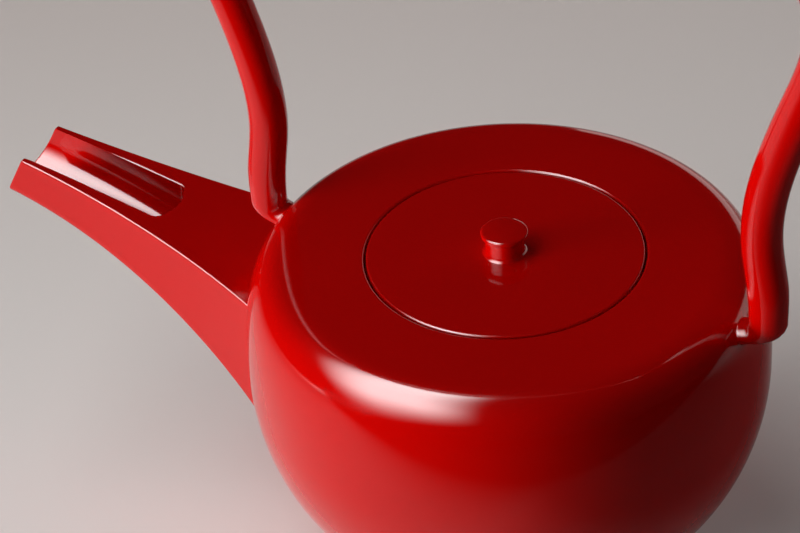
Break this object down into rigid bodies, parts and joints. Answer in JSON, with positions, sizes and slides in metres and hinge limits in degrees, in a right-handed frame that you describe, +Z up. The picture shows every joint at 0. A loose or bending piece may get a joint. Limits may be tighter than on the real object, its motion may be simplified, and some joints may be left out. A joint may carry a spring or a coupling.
{
  "type": "sake ewer",
  "caption": "Round lacquered sake ewer with a flush lift-off lid, an open-topped spout and a tall fixed arched handle.",
  "frame": {"origin": "on the axis of the round bowl, at the surface that the foot ring stands on", "axes": "+Z up along the bowl's axis; +X from the bowl towards the lip of the spout; +Y to the left of the spout, and the ewer is symmetric about Y = 0"},
  "size_m": [0.262, 0.151, 0.2498],
  "materials": {
    "vermilion_lacquer": "gloss lacquer",
    "bare_wood": "plain"
  },
  "bodies": {
    "root": {"lower_bowl": "vermilion_lacquer", "top_ring": "vermilion_lacquer", "foot_ring": "vermilion_lacquer", "spout_trough": "vermilion_lacquer", "spout_cover": "vermilion_lacquer", "handle": "vermilion_lacquer", "handle_front_peg": "bare_wood", "handle_rear_peg": "bare_wood"},
    "lid": {"lid_plate": "vermilion_lacquer", "lid_knob": "vermilion_lacquer"}
  },
  "joints": [
    {"name": "lid_lift", "type": "slide", "parent": "root", "child": "lid", "axis": [0, 0, 1], "range_m": [0, 0.12]}
  ]
}
